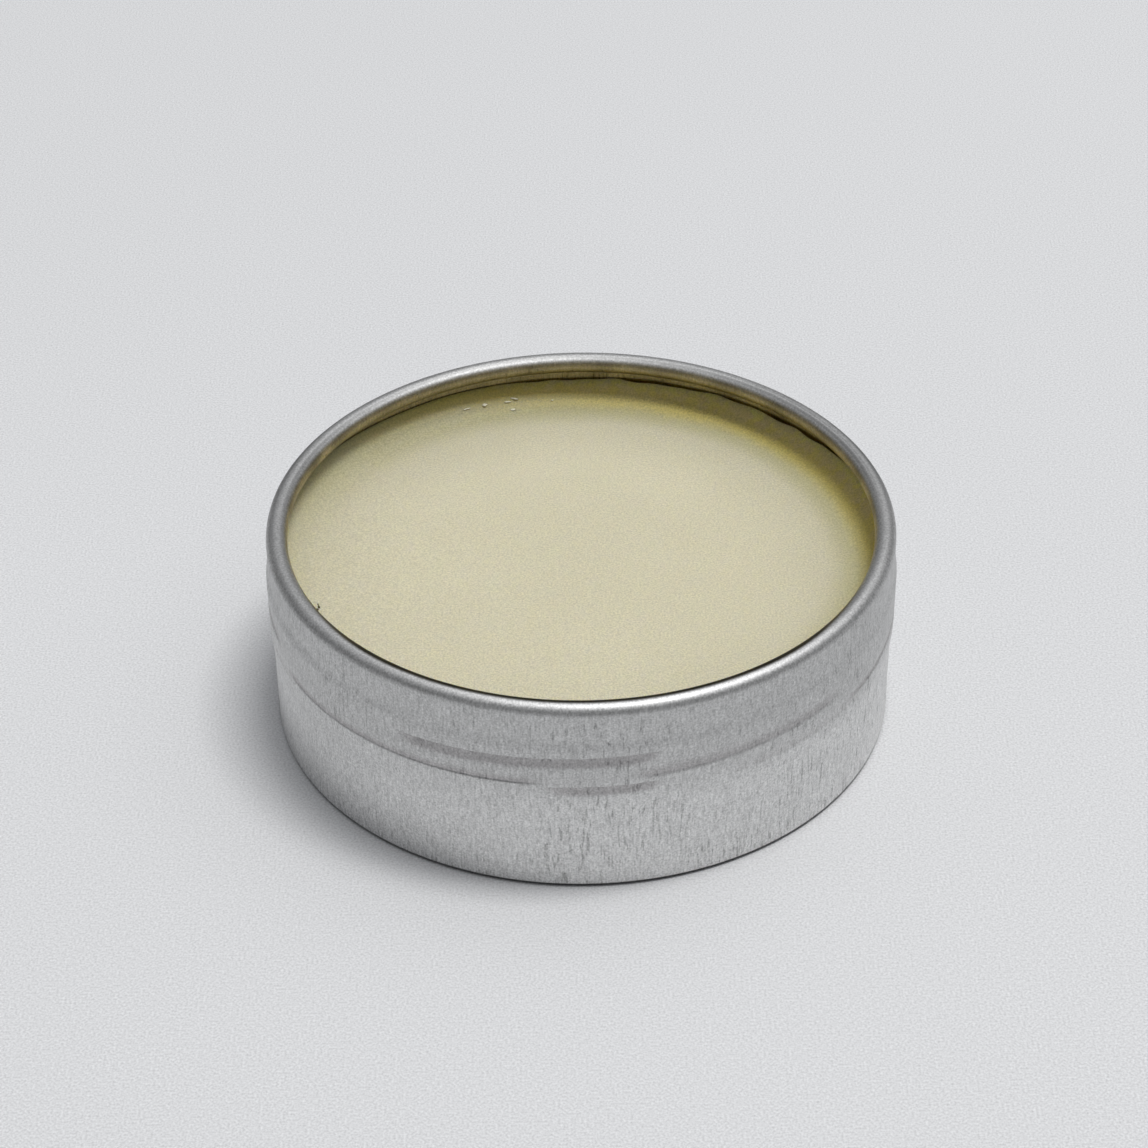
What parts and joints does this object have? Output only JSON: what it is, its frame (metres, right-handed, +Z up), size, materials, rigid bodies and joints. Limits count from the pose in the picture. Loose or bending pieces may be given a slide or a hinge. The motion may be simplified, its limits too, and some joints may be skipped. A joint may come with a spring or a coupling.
{
  "type": "shoe polish tin",
  "caption": "Round screw-top aluminium tin filled with pale wax polish, open, with its lined screw lid lying upside down beside it.",
  "frame": {"origin": "centre of the tin's flat underside, which is also the level of the table", "axes": "+Z up along the tin's axis; the open lid lies on the -X side of the tin"},
  "size_m": [0.1317, 0.0526, 0.0173],
  "materials": {
    "tin_metal": "satin drawn aluminium with fine upright drawing marks and a smooth rolled rim",
    "wax": "smooth satin wax, pale cream yellow, mustard where it meets the wall",
    "lid_metal": "satin drawn aluminium, plain and unprinted",
    "liner_foam": "off-white closed-cell foam sheet"
  },
  "bodies": {
    "tin": {"tin_body": "tin_metal", "polish": "wax"},
    "cap": {"lid": "lid_metal", "lid_liner": "liner_foam"}
  },
  "joints": [
    {"name": "lid_turn_over", "type": "hinge", "parent": "tin", "child": "cap", "pos_m": [-0.04, 0, 0.00962], "axis": [0, 1, 0], "range_deg": [0, 180]}
  ]
}
